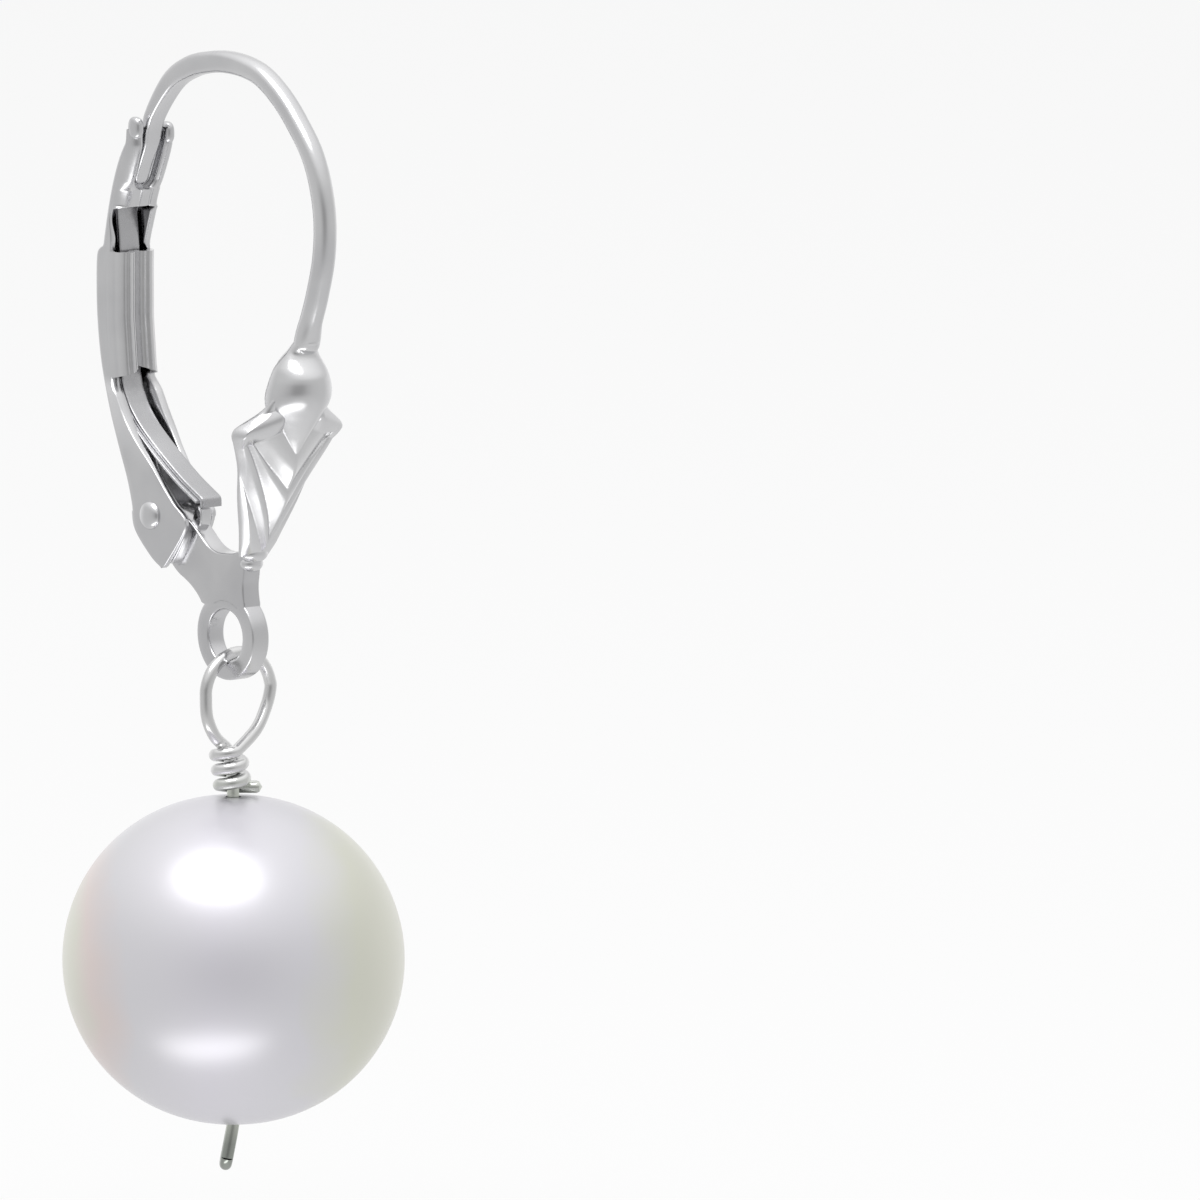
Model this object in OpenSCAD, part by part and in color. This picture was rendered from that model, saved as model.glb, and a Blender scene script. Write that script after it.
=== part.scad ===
// Leverback earring with a drilled pearl on a wrapped wire loop.
// Millimetres. X is the width, -Y the front, +Z up.
// The origin is where the ear wire rests in the ear: the underside of its crown.

/* [Ear wire] */
// Thickness of the ear wire
wire_t = 0.65; // [0.5:0.05:0.8]
// How far the wire bows forward of its crown
front_bow = 4.23; // [3.6:0.1:5]
// Height from the crown's centre down to the top of the shield
front_drop = 7.85; // [7:0.1:9]
// How far the wire's tip lies behind the crown
tip_back = 4.15; // [3.8:0.05:4.6]
// Height from the crown's centre down to the tip
tip_drop = 3.93; // [3.4:0.1:4.4]

/* [Shield] */
// Width of the shield across its corners
shield_w = 3.86; // [3:0.1:5]
// Height of the shield
shield_h = 6.6; // [5.8:0.1:7.4]
// How far the shield's foot lies behind its top
shield_lean = 2.6; // [2:0.1:3]
// Largest radius of the teardrop boss
boss_r = 0.93; // [0.8:0.01:1.05]
// How far the shield's ridge stands in front of its corners
ridge_h = 0.4; // [0.3:0.05:0.6]
// Thickness of the shield at its edge
shield_t = 0.34; // [0.25:0.01:0.5]

/* [Base plate] */
// Thickness of the plate and of the ring
plate_t = 0.65; // [0.5:0.05:0.75]
// Distance of the hinge behind the crown
hinge_back = 2.94; // [2.7:0.05:3.2]
// Height of the hinge above the shield's foot
hinge_rise = 0.85; // [0.6:0.05:1.1]
// Radius of the arm's round end
arm_r = 0.55; // [0.48:0.01:0.6]
// Distance of the ring's centre below the shield's foot
ring_drop = 2.43; // [2.2:0.05:3]
// Outside radius of the ring
ring_r = 1.3; // [1.15:0.05:1.5]
// Radius of the ring's hole
ring_hole_r = 0.78; // [0.65:0.01:0.9]

/* [Lever] */
// Width of the lever over its cheeks
lever_w = 1.44; // [1.35:0.01:1.7]
// Thickness of the lever's sheet
sheet_t = 0.2; // [0.12:0.01:0.24]
// How far the lever bows back of the line from hinge to tip
lever_bow = 1.62; // [1.4:0.02:1.9]
// Depth of the rolled ears in front of the web
ear_depth = 0.62; // [0.5:0.01:0.7]

/* [Spring leaf] */
// Width of the leaf spring
leaf_w = 0.7; // [0.5:0.01:0.72]
// Thickness of the leaf spring
leaf_t = 0.15; // [0.1:0.01:0.18]

/* [Rivet] */
// Diameter of the rivet's shank
rivet_d = 0.6; // [0.4:0.02:0.7]
// Diameter of the rivet's heads
rivet_head_d = 0.84; // [0.8:0.02:1]
// Height of a rivet head
rivet_head_h = 0.2; // [0.12:0.01:0.3]

/* [Drop] */
// Diameter of the drop's wire
drop_wire_d = 0.37; // [0.28:0.01:0.4]
// Radius of the top loop, on the wire's centre
loop_r = 1.16; // [1:0.02:1.4]
// Height from the loop's top to the first wrap
loop_h = 2.85; // [2.6:0.05:3.4]
// Height of one turn of the wraps
wrap_pitch = 0.44; // [0.42:0.01:0.6]
// Length of the cut tail that lies on the pearl
tail_l = 0.85; // [0.4:0.05:1.2]
// Diameter of the pearl
pearl_d = 10; // [8:0.1:12]
// How much shorter the pearl is than it is wide
pearl_flat = 0.4; // [0:0.05:0.8]
// Diameter of the pearl's drilling
drill_d = 1.06; // [1.04:0.02:1.4]
// Length of the eye under the pearl
eye_l = 1.45; // [1.2:0.05:2]
// Radius of the eye, on the wire's centre
eye_r = 0.36; // [0.33:0.01:0.5]

/* [Fits] */
// Radial clearance of the hinge's running fit
hinge_gap = 0.03; // [0.02:0.01:0.05]
// Gap between neighbouring pieces
fit_gap = 0.05; // [0.03:0.01:0.08]

/* [Hidden] */
$fn = 48;

crown_z = wire_t / 2;
tip = [tip_back, crown_z - tip_drop];
shield_top = [-0.84 * front_bow, crown_z - front_drop];
foot = shield_top + [shield_lean, -shield_h];
hinge = [hinge_back, foot[1] + hinge_rise];
ring_c = [0, foot[1] - ring_drop];
channel_w = lever_w - 2 * sheet_t;
rivet_hole_r = rivet_d / 2 + hinge_gap;
shank_hole_r = rivet_d / 2 + 0.01;

// The ear wire's centre-line, from the tip over the crown to the shield.
// Columns: share of the reach (tip_back, then front_bow), share of the drop,
// share of wire_t that the flattened tip keeps in depth.
back_limb = [
    [1.0, 1.0, 0.48], [0.97, 0.80, 0.50], [0.855, 0.495, 0.60], [0.65, 0.218, 0.86],
    [0.43, 0.075, 1], [0.2, 0.012, 1]
];
front_limb = [
    [0.2, 0.010, 1], [0.364, 0.044, 1], [0.558, 0.121, 1], [0.73, 0.214, 1], [0.867, 0.309, 1],
    [0.955, 0.42, 1], [1.0, 0.55, 1], [0.985, 0.69, 1], [0.915, 0.83, 1], [0.84, 0.94, 1],
    [0.80, 1.02, 1]
];

// The shield seen from the front. Columns: share of the height, share of the half width.
shield_edge = [
    [0.00, 0.17], [0.05, 0.31], [0.12, 0.46], [0.20, 0.55], [0.28, 0.585], [0.335, 0.62], [0.36, 0.74],
    [0.385, 0.93], [0.405, 0.99], [0.425, 1.00], [0.45, 0.97], [0.52, 0.85], [0.60, 0.71],
    [0.75, 0.51], [0.88, 0.35], [1.00, 0.235]
];
// The boss is a teardrop of revolution. Columns: share of its length, share of boss_r.
boss_rows = [
    [0.00, 0.36], [0.08, 0.60], [0.18, 0.82], [0.29, 0.96], [0.38, 1.00], [0.48, 0.96],
    [0.60, 0.80], [0.72, 0.58], [0.86, 0.30], [1.00, 0.05]
];

// The lever's outline. Columns: share of the way from the hinge up to the wire's tip,
// share of lever_bow behind that line.
lever_back = [
    [-0.049, 0.512], [0.026, 0.541], [0.188, 0.69], [0.395, 0.891], [0.545, 1.0],
    [0.665, 0.975], [0.79, 0.86], [0.90, 0.64], [1.0, 0.36], [1.10, 0.09], [1.19, -0.16]
];
prong_top = [[1.215, -0.30], [1.215, -0.48], [1.16, -0.56]];
lever_front = [
    [1.03, -0.14], [0.94, 0.18], [0.83, 0.46], [0.72, 0.66], [0.56, 0.74], [0.42, 0.68], [0.286, 0.44]
];
cheek_foot = [[0.168, -0.071], [0.007, -0.925], [-0.142, -0.332], [-0.155, -0.20]];

// The leaf. Columns: share of the way up from the hinge, share of lever_bow that it stands off the web.
leaf_rows = [
    [0.915, 0], [0.82, 0], [0.70, 0], [0.56, 0], [0.46, 0.01], [0.395, 0.07], [0.33, 0.18],
    [0.25, 0.40], [0.155, 1.14]
];
leaf_end = [[0.105, 1.56], [0.070, 1.66]];

ears = [0.42, 0.775];
ear_seat = 0.02;
cup_floor = [0.93, 0.965];
web_foot = 0.65;

// The shape of the wire path and the side views in the hinge's frame
function unit(v) = v / norm(v);
function on_lever(row) = hinge + row[0] * (tip - hinge) + [row[1] * lever_bow, 0];
function on_back(share) = on_lever([share, lookup(share, lever_back)]);
function on_leaf(row) = on_lever([row[0], lookup(row[0], lever_back) - row[1]])
    - [sheet_t + fit_gap + leaf_t / 2, 0];

// A smooth curve through rows of any length
function blend(a, b, c, d, t) =
    0.5 * (2 * b + (c - a) * t + (2 * a - 5 * b + 4 * c - d) * t * t
        + (3 * b - a - 3 * c + d) * t * t * t);
function smooth(rows, steps) = [
    for (i = [0 : len(rows) - 2], k = [0 : steps - 1])
        let (before = rows[max(i - 1, 0)], after = rows[min(i + 2, len(rows) - 1)])
            blend(before, rows[i], rows[i + 1], after, k / steps),
    rows[len(rows) - 1]
];

// A strip of thickness t along a flat path
function along(p, i) = unit(p[min(i + 1, len(p) - 1)] - p[max(i - 1, 0)]);
function beside(p, i, d) = p[i] + d * [-along(p, i)[1], along(p, i)[0]];
function ribbon(p, t) = concat(
    [for (i = [0 : len(p) - 1]) beside(p, i, t / 2)],
    [for (i = [len(p) - 1 : -1 : 0]) beside(p, i, -t / 2)]
);

// Frames carried along a path in space without twist
function across(t) = unit(cross(t, abs(t[0]) > 0.9 ? [0, 1, 0] : [1, 0, 0]));
function carried(p) = [
    for (i = 0, t = along(p, 0), n = across(t); i < len(p);
         i = i + 1, t = along(p, min(i, len(p) - 1)), n = unit(n - t * (n * t)))
        [t, n]
];

// A closed surface through rings of equal size
module skin(rings) {
    m = len(rings[0]);
    last = len(rings) - 1;
    polyhedron(
        points = [for (r = rings, p = r) p],
        faces = concat(
            [[for (k = [m - 1 : -1 : 0]) k]],
            [for (i = [0 : last - 1], k = [0 : m - 1])
                [i * m + k, (i + 1) * m + (k + 1) % m, (i + 1) * m + k]],
            [for (i = [0 : last - 1], k = [0 : m - 1])
                [i * m + k, i * m + (k + 1) % m, (i + 1) * m + (k + 1) % m]],
            [[for (k = [0 : m - 1]) last * m + k]]
        )
    );
}

// A round wire of radius r along a path in space
module tube(path, r, sides) {
    frames = carried(path);
    skin([
        for (i = [0 : len(path) - 1])
            [for (k = [0 : sides - 1])
                path[i] + r * (cos(360 * k / sides) * frames[i][1]
                    - sin(360 * k / sides) * cross(frames[i][0], frames[i][1]))]
    ]);
}

// A flat piece of thickness t drawn in the side view (Y across, Z up)
module side_plate(t) {
    rotate([90, 0, 90]) linear_extrude(height = t, center = true) children();
}

// A round pin or bore across the piece, at a place in the side view
module cross_pin(place, r, length) {
    translate([0, place[0], place[1]]) rotate([0, 90, 0]) cylinder(h = length, r = r, center = true);
}

module ear_wire() {
    limbs = concat(
        [for (row = back_limb) [row[0] * tip[0], crown_z - row[1] * tip_drop, row[2]]],
        [[0, crown_z, 1]],
        [for (row = front_limb) [-row[0] * front_bow, crown_z - row[1] * front_drop, row[2]]]
    );
    rows = smooth(limbs, 3);
    path = [for (row = rows) [row[0], row[1]]];
    skin([
        for (i = [0 : len(path) - 1])
            [for (k = [0 : 11]) let (p = beside(path, i, rows[i][2] * wire_t / 2 * sin(30 * k)))
                [wire_t / 2 * cos(30 * k), p[0], p[1]]]
    ]);
}

// The shield's own frame: its front ridge runs up Z from the foot
module on_shield() {
    translate([0, foot[0] - shield_t / 2, foot[1]]) rotate([atan(1.12 * shield_lean / shield_h), 0, 0])
        translate([0, 0, -2 * shield_t]) children();
}

// The leaning panel with its V ridge, cut to the front outline
module shield_panel() {
    intersection() {
        on_shield() linear_extrude(height = 1.3 * norm(foot - shield_top)) polygon([
            [0, 0], [shield_w, 2 * ridge_h], [shield_w, 2 * ridge_h + shield_t],
            [shield_w / 2, ridge_h + shield_t], [0, ridge_h / 2 + shield_t],
            [-shield_w / 2, ridge_h + shield_t], [-shield_w, 2 * ridge_h + shield_t], [-shield_w, 2 * ridge_h]
        ]);
        translate([0, 0, foot[1]]) rotate([90, 0, 0])
            linear_extrude(height = 4 * front_bow, center = true) polygon(concat(
                [for (row = shield_edge) [row[1] * shield_w / 2, (1 - row[0]) * shield_h]],
                [for (k = [len(shield_edge) - 1 : -1 : 0])
                    [-shield_edge[k][1] * shield_w / 2, (1 - shield_edge[k][0]) * shield_h]]
            ));
    }
}

// The teardrop boss, cut off flush with the back of the panel
module boss() {
    top = shield_top + [0.14 * boss_r, 0.13 * boss_r];
    end = foot + [-0.62 * shield_lean, 0.4 * shield_h];
    length = norm(end - top);
    depth = ridge_h / 2 + shield_t;
    intersection() {
        translate([0, top[0], top[1]]) rotate([180 + atan2(end[0] - top[0], top[1] - end[1]), 0, 0])
            rotate_extrude() polygon(concat(
                [[0, 0]], [for (row = boss_rows) [row[1] * boss_r, row[0] * length]], [[0, length]]
            ));
        on_shield() translate([-shield_w, depth - 4 * boss_r, 0])
            cube([2 * shield_w, 4 * boss_r, 2 * shield_h]);
    }
}

// The flat plate: from the shield's foot back to the hinge and down to the ring
module base_outline() {
    polygon([
        ring_c + [-0.75 * ring_r, 0.55 * ring_r],
        ring_c + [-0.62 * ring_r, 1.1 * ring_r],
        foot + [0.06, -0.5],
        foot + [0.12, 0.12],
        foot + [0.62, 0.02],
        foot + [1.6, -0.02],
        hinge + [-1.45, -0.09],
        hinge + [-0.55 * arm_r, 0.83 * arm_r],
        hinge + [0.83 * arm_r, -0.55 * arm_r],
        hinge + [-0.56, -1.56],
        hinge + [-1.3, -1.89],
        ring_c + [0.93 * ring_r, 0.8 * ring_r],
        ring_c + [0.8 * ring_r, 0.6 * ring_r]
    ]);
}

// The tab that the leaf's bent tip bears on
module cam_tab() {
    end = on_leaf(leaf_end[1]);
    polygon([
        end + [0.0, -leaf_t / 2 - fit_gap],
        end + [0.42, -leaf_t / 2 - fit_gap],
        hinge + [-1.1, -0.3],
        hinge + [-1.6, -0.6]
    ]);
}

module ear_hook() {
    color("silver") difference() {
        union() {
            ear_wire();
            shield_panel();
            boss();
            side_plate(plate_t) {
                base_outline();
                cam_tab();
            }
            cross_pin(hinge, arm_r, channel_w - 2 * fit_gap);
            cross_pin(ring_c, ring_r, plate_t);
        }
        cross_pin(hinge, rivet_hole_r, lever_w);
        cross_pin(ring_c, ring_hole_r, lever_w);
    }
}

// One rolled ear: a C section that curls in from the cheek, along the lever's chord
module rolled_ear(side) {
    roll_r = lever_w / 4 - fit_gap / 2 - ear_seat / 2;
    inner_r = roll_r - sheet_t + 2 * ear_seat;
    rise = ear_depth - roll_r;
    lip = 0.35 * roll_r;
    low = on_back(ears[0]) - [sheet_t, 0];
    high = on_back(ears[1]) - [sheet_t, 0];
    translate([0, low[0], low[1]]) rotate([-atan2(high[0] - low[0], high[1] - low[1]), 0, 0])
        linear_extrude(height = norm(high - low))
            translate([side * (lever_w / 2 - ear_seat - roll_r), -rise]) difference() {
                union() {
                    circle(r = roll_r);
                    translate([side * (roll_r + inner_r) / 2, rise / 2 - roll_r / 4])
                        square([roll_r - inner_r, rise + roll_r / 2], center = true);
                }
                circle(r = inner_r);
                translate([-side * 0.5 * (2 * roll_r - inner_r), roll_r - lip])
                    square([2 * roll_r + inner_r, 2 * roll_r], center = true);
            }
}

module lever_outline() {
    polygon(concat(
        smooth([for (row = lever_back) on_lever(row)], 4),
        [for (row = prong_top) on_lever(row)],
        smooth([for (row = lever_front) on_lever(row)], 3),
        [for (row = cheek_foot) on_lever(row)]
    ));
}

// The room between the cheeks, in front of the web
module channel_outline() {
    back = smooth([for (row = lever_back) on_lever(row)], 4);
    inner = [
        for (i = [0 : len(back) - 1])
            if (back[i][1] > hinge[1] + web_foot) beside(back, i, sheet_t)
    ];
    top = inner[len(inner) - 1];
    polygon(concat(
        [hinge + [lever_bow, 0], hinge + [lever_bow, web_foot]],
        inner,
        [top + [-0.3, 2 * wire_t], [0, top[1] + 2 * wire_t], [0, 2 * hinge[1]],
         [hinge[0] + lever_bow, 2 * hinge[1]]]
    ));
}

// The floor of the cup that takes the wire's tip
module cup() {
    side_plate(channel_w + sheet_t) polygon([
        on_back(cup_floor[0]) - [sheet_t / 2, 0],
        on_lever([cup_floor[0], lookup(cup_floor[0], lever_back) - 0.26]),
        on_lever([cup_floor[0] + 0.012, lookup(cup_floor[0], lever_back) - 0.27]),
        on_back(cup_floor[1]) - [sheet_t / 2, 0]
    ]);
}

module lever() {
    color("gainsboro") difference() {
        union() {
            difference() {
                side_plate(lever_w) lever_outline();
                side_plate(channel_w) channel_outline();
            }
            cup();
            rolled_ear(-1);
            rolled_ear(1);
        }
        cross_pin(hinge, shank_hole_r, 2 * lever_w);
    }
}

module spring_leaf() {
    path = concat(smooth([for (row = leaf_rows) on_leaf(row)], 3), [for (row = leaf_end) on_leaf(row)]);
    color("darkgray") side_plate(leaf_w) polygon(ribbon(path, leaf_t));
}

module rivet_head(side) {
    dome_r = (rivet_head_d * rivet_head_d / 4 + rivet_head_h * rivet_head_h) / (2 * rivet_head_h);
    translate([side * (lever_w / 2 + 0.01), hinge[0], hinge[1]]) rotate([0, side * 90, 0])
        intersection() {
            translate([0, 0, rivet_head_h - dome_r]) sphere(r = dome_r);
            cylinder(h = rivet_head_h, d = rivet_head_d);
        }
}

module hinge_rivet() {
    color("silver") union() {
        cross_pin(hinge, rivet_d / 2, lever_w + 0.04);
        rivet_head(-1);
        rivet_head(1);
    }
}

// The loop clears the ring's lower inside edge, where its arch has dropped a little
arch_drop = loop_r - sqrt(loop_r * loop_r - plate_t * plate_t / 4);
loop_top = ring_c[1] - ring_hole_r + drop_wire_d / 2 + arch_drop + fit_gap / 2;
wrap_top = loop_top - loop_h;
wrap_r = drop_wire_d + fit_gap / 2;
wrap_angle = 940;
pearl_h = pearl_d - pearl_flat;
pearl_top = wrap_top - wrap_pitch * wrap_angle / 360 - drop_wire_d / 2 - fit_gap;
pearl_z = pearl_top - pearl_h / 2;
pearl_foot = pearl_top - pearl_h;
eye_turn = 50;
eye_lean = 11;
wire_sides = 8;

// A place in the eye's plane, which leans out under the pearl
function in_eye(u, drop) = [
    u * cos(eye_turn) - drop * sin(eye_lean) * sin(eye_turn),
    u * sin(eye_turn) + drop * sin(eye_lean) * cos(eye_turn),
    pearl_foot - drop * cos(eye_lean)
];

module drop_wire() {
    r = drop_wire_d / 2;
    eye_c = eye_l - eye_r - r;
    leg_in = drill_d / 2 - r - 0.03;
    stem_foot = [0, 0, pearl_foot + 1.6];
    eye = concat(
        [[leg_in * cos(eye_turn), leg_in * sin(eye_turn), pearl_foot + 0.7],
         [leg_in * cos(eye_turn), leg_in * sin(eye_turn), pearl_foot + 0.1]],
        [for (a = [0 : 20 : 180]) in_eye(eye_r * cos(a), eye_c + eye_r * sin(a))],
        [[-leg_in * cos(eye_turn), -leg_in * sin(eye_turn), pearl_foot + 0.1],
         [-0.6 * leg_in * cos(eye_turn), -0.6 * leg_in * sin(eye_turn), pearl_foot + 0.8], stem_foot]
    );
    loop_c = loop_top - loop_r;
    loop = concat(
        [[0, 0, pearl_z], [0, 0, wrap_top - wrap_pitch], [0, 0.02, wrap_top],
         [-0.35 * loop_r, 0.03, wrap_top + 0.17 * loop_h],
         [-0.86 * loop_r, 0, wrap_top + 0.40 * loop_h]],
        [for (a = [180 : -15 : 0]) [loop_r * cos(a), 0, loop_c + loop_r * sin(a)]],
        [[0.90 * loop_r, 0, wrap_top + 0.40 * loop_h],
         [0.52 * loop_r, -0.4 * wrap_r, wrap_top + 0.19 * loop_h]]
    );
    wraps = [for (a = [0 : 20 : wrap_angle])
        [-wrap_r * sin(a), -wrap_r * cos(a), wrap_top - wrap_pitch * a / 360]];
    end = wraps[len(wraps) - 1];
    tail_way = [-cos(wrap_angle), sin(wrap_angle), 0];
    tail = [for (share = [0.5, 1]) end + share * tail_l * tail_way];
    path = concat(
        smooth(eye, 2),
        smooth(concat(loop, [wraps[0]]), 2),
        [for (i = [1 : len(wraps) - 1]) wraps[i]],
        tail
    );
    color("silver") tube(path, r, wire_sides);
}

module pearl() {
    turn_r = pearl_h / 2;
    inset = pearl_d / 2 - turn_r;
    color("ghostwhite") translate([0, 0, pearl_z]) difference() {
        rotate_extrude($fn = 96) intersection() {
            union() {
                translate([inset, 0]) circle(r = turn_r);
                translate([0, -turn_r]) square([inset, 2 * turn_r]);
            }
            translate([0, -pearl_h]) square([pearl_d, 2 * pearl_h]);
        }
        cylinder(h = 2 * pearl_h, d = drill_d, center = true);
    }
}

ear_hook();
lever();
spring_leaf();
hinge_rivet();
drop_wire();
pearl();
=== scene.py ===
# %% [markdown]
# # A leverback earring with a pearl drop
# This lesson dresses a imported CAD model. Lengths are typed in millimetres, and they become
# metres at the very end, when a mesh is made.

# %% Load the frame
import math

import bpy
import numpy as np
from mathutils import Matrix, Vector


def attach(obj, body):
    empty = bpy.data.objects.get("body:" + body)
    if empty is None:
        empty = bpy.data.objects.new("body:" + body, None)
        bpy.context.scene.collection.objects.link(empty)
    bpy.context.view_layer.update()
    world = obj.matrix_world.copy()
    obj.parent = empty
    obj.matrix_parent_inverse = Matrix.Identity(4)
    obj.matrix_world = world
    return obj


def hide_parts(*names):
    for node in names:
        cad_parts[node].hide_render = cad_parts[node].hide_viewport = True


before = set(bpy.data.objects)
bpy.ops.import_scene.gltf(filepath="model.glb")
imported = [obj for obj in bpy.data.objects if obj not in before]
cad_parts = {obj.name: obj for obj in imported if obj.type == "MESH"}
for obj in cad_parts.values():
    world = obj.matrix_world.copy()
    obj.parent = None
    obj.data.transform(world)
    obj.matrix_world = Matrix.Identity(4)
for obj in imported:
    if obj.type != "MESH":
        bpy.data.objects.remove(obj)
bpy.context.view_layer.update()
MM = 0.001


# %% [markdown]
# ## Sizes of the real earring
# The same named sizes stand in the part's source. They are repeated here, because a skin has to
# meet the solid that it covers. Y runs from front (-) to back (+), Z up, and the origin lies
# under the crown of the ear wire, where the earring hangs in the ear.

# %% Named sizes
wire_t, front_bow, front_drop, tip_back, tip_drop = 0.65, 4.23, 7.85, 4.15, 3.93
shield_w, shield_h, shield_lean, ridge_h, shield_t = 3.86, 6.6, 2.6, 0.4, 0.34
plate_t, hinge_back, hinge_rise, arm_r = 0.65, 2.94, 0.85, 0.55
ring_drop, ring_r, ring_hole_r = 2.43, 1.3, 0.78
lever_w, sheet_t, lever_bow = 1.44, 0.2, 1.62
leaf_w, leaf_t, fit_gap = 0.7, 0.15, 0.05
rivet_d, rivet_head_d, rivet_head_h = 0.6, 0.84, 0.2
drop_wire_d, loop_r, loop_h, wrap_pitch, tail_l = 0.37, 1.16, 2.85, 0.44, 0.85
pearl_d, pearl_flat, drill_d, eye_l, eye_r = 10, 0.4, 1.06, 1.45, 0.36

# %% Places in the side view, as (Y, Z)
crown_z = wire_t / 2
tip = np.array([tip_back, crown_z - tip_drop])
shield_top = np.array([-0.84 * front_bow, crown_z - front_drop])
foot = shield_top + [shield_lean, -shield_h]
hinge = np.array([hinge_back, foot[1] + hinge_rise])
ring_c = np.array([0, foot[1] - ring_drop])
# The photo is taken 40 degrees from the front: its right-hand direction, and the one to the eye
photo_right = np.array([0.766, -0.643, 0])
photo_front = np.array([-0.643, -0.766, 0])
print("hinge at", hinge, "ring at", ring_c)

# %% [markdown]
# ## Tables of the outlines
# Each outline is a short table with a row for every place that was measured. A row can be moved
# without touching another line.

# %% Outline tables
# The ear wire: share of tip_back, share of tip_drop, thickness in the side view as a share
back_limb = [[1.045, 1.02, 0.46], [0.982, 0.855, 0.46], [0.916, 0.71, 0.48], [0.855, 0.495, 0.60],
             [0.65, 0.218, 0.86], [0.43, 0.085, 1], [0.2, 0.028, 1]]
# The same for its front: share of front_bow, share of front_drop, thickness
front_limb = [[0.2, 0.020, 1], [0.364, 0.050, 1], [0.558, 0.121, 1], [0.73, 0.214, 1],
              [0.867, 0.309, 1], [0.955, 0.42, 1], [1.0, 0.55, 1], [0.985, 0.69, 1],
              [0.915, 0.83, 1], [0.84, 0.94, 1], [0.80, 1.015, 1], [0.77, 1.057, 1]]
# The shield's outline: share of its height from the top, share of its half width
shield_edge = [[0.00, 0.13], [0.05, 0.20], [0.12, 0.32], [0.20, 0.44], [0.27, 0.53],
               [0.315, 0.62], [0.345, 0.76], [0.38, 0.93], [0.405, 0.99], [0.425, 1.00],
               [0.45, 0.97], [0.52, 0.85], [0.60, 0.725], [0.75, 0.55], [0.88, 0.39], [1.00, 0.265]]
# The shield's front ridge: share of its height from the top, Y
ridge_rows = [[0.0, -3.25], [0.20, -3.28], [0.33, -3.22], [0.47, -3.00], [0.656, -2.60],
              [0.81, -2.06], [0.93, -1.52], [1.0, -1.20]]
# The chevrons: share of the height at a point, slope of its arms, their bend
chevrons = [[0.50, 3.2, 0.5], [0.675, 3.05, 0.3], [0.865, 1.25, 1.35], [0.935, 1.9, 0.1]]
# The boss: distance below its top, radius, Y of its centre line
boss_rows = [[0.00, 0.26, -3.42], [0.18, 0.385, -3.38], [0.45, 0.49, -3.25], [0.62, 0.60, -3.18],
             [0.79, 0.71, -3.13], [0.97, 0.805, -3.09], [1.18, 0.875, -3.06], [1.41, 0.94, -3.04],
             [1.70, 0.99, -2.99], [2.00, 0.985, -2.93], [2.30, 0.89, -2.88], [2.70, 0.64, -2.86],
             [3.10, 0.36, -2.86], [3.50, 0.08, -2.90]]
# The lever: share of the way from the hinge up to the wire's tip, and how far the edge lies
# behind that line, as a share of lever_bow
lever_back = [[-0.155, -0.20], [-0.125, 0.10], [-0.049, 0.512], [0.026, 0.55], [0.10, 0.63],
              [0.188, 0.785], [0.29, 0.95], [0.395, 1.065], [0.48, 1.115], [0.59, 1.11],
              [0.70, 1.045], [0.77, 0.97], [0.79, 0.88], [0.80, 0.78], [0.83, 0.715],
              [0.90, 0.575], [0.973, 0.405], [1.043, 0.19], [1.10, -0.03], [1.155, -0.30],
              [1.195, -0.48], [1.215, -0.56]]
lever_front = [[-0.155, -0.20], [-0.142, -0.332], [-0.012, -0.985], [0.05, -0.68], [0.099, -0.414],
               [0.168, -0.09], [0.217, 0.11], [0.286, 0.33], [0.35, 0.50], [0.402, 0.62],
               [0.56, 0.63], [0.72, 0.52], [0.79, 0.46], [0.83, 0.38], [0.916, 0.15], [0.96, 0.03],
               [1.03, -0.20], [1.107, -0.425], [1.133, -0.455], [1.17, -0.50], [1.215, -0.56]]
# The middle of the rolled ears: the same two columns
ear_middle = [[0.40, 0.648], [0.439, 0.660], [0.588, 0.627], [0.746, 0.509], [0.79, 0.468]]
# The front of the leaf spring, down to its bent tip: Y, Z
leaf_front = [[4.86, -4.15], [4.80, -4.66], [4.70, -5.66], [4.66, -7.5], [4.63, -9.30],
              [4.37, -10.05], [3.93, -10.60], [3.33, -11.10], [2.56, -11.65], [1.88, -12.09],
              [1.22, -12.45], [1.02, -12.56], [0.94, -12.66], [0.93, -12.88]]
# The tab that the leaf's tip bears on: Y, Z
tab_outline = [[1.2, -12.92], [1.38, -12.84], [1.6, -13.1], [1.65, -13.5], [1.4, -13.6],
               [1.22, -13.4]]
print("rows in the lever's tables:", len(lever_back), "and", len(lever_front))

# %% [markdown]
# ## Curves
# A Bezier curve only comes near its middle points. A Catmull-Rom curve passes through every row
# of a table, which is what a maker wants who has measured those rows, so it is used here. All
# spans are worked out at once. Two smooth steps say where along a piece a form comes and goes.

# %% Curve helpers


def smooth(rows, steps):
    """Cubic through the rows: on each span 0.5 (2b + (c-a)t + (2a-5b+4c-d)t^2 + (3b-a-3c+d)t^3),
    where a, b, c, d are the four rows round the span, and the end rows count twice."""
    p = np.asarray(rows, float)
    q = np.vstack([p[:1], p, p[-1:]])
    t = np.linspace(0, 1, steps, endpoint=False)[None, :, None]
    a, b, c, d = (q[i:i + len(p) - 1, None, :] for i in range(4))
    spans = 0.5 * (2 * b + (c - a) * t + (2 * a - 5 * b + 4 * c - d) * t ** 2
                   + (3 * b - a - 3 * c + d) * t ** 3)
    return np.vstack([spans.reshape(-1, p.shape[1]), p[-1:]])


def cut_corners(points, times):
    """Rounds a closed outline: each corner gives way to the points 1/4 and 3/4 along its sides."""
    p = np.asarray(points, float)
    for _ in range(times):
        q = np.roll(p, -1, axis=0)
        p = np.stack([0.75 * p + 0.25 * q, 0.25 * p + 0.75 * q], axis=1).reshape(-1, p.shape[1])
    return p


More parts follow.
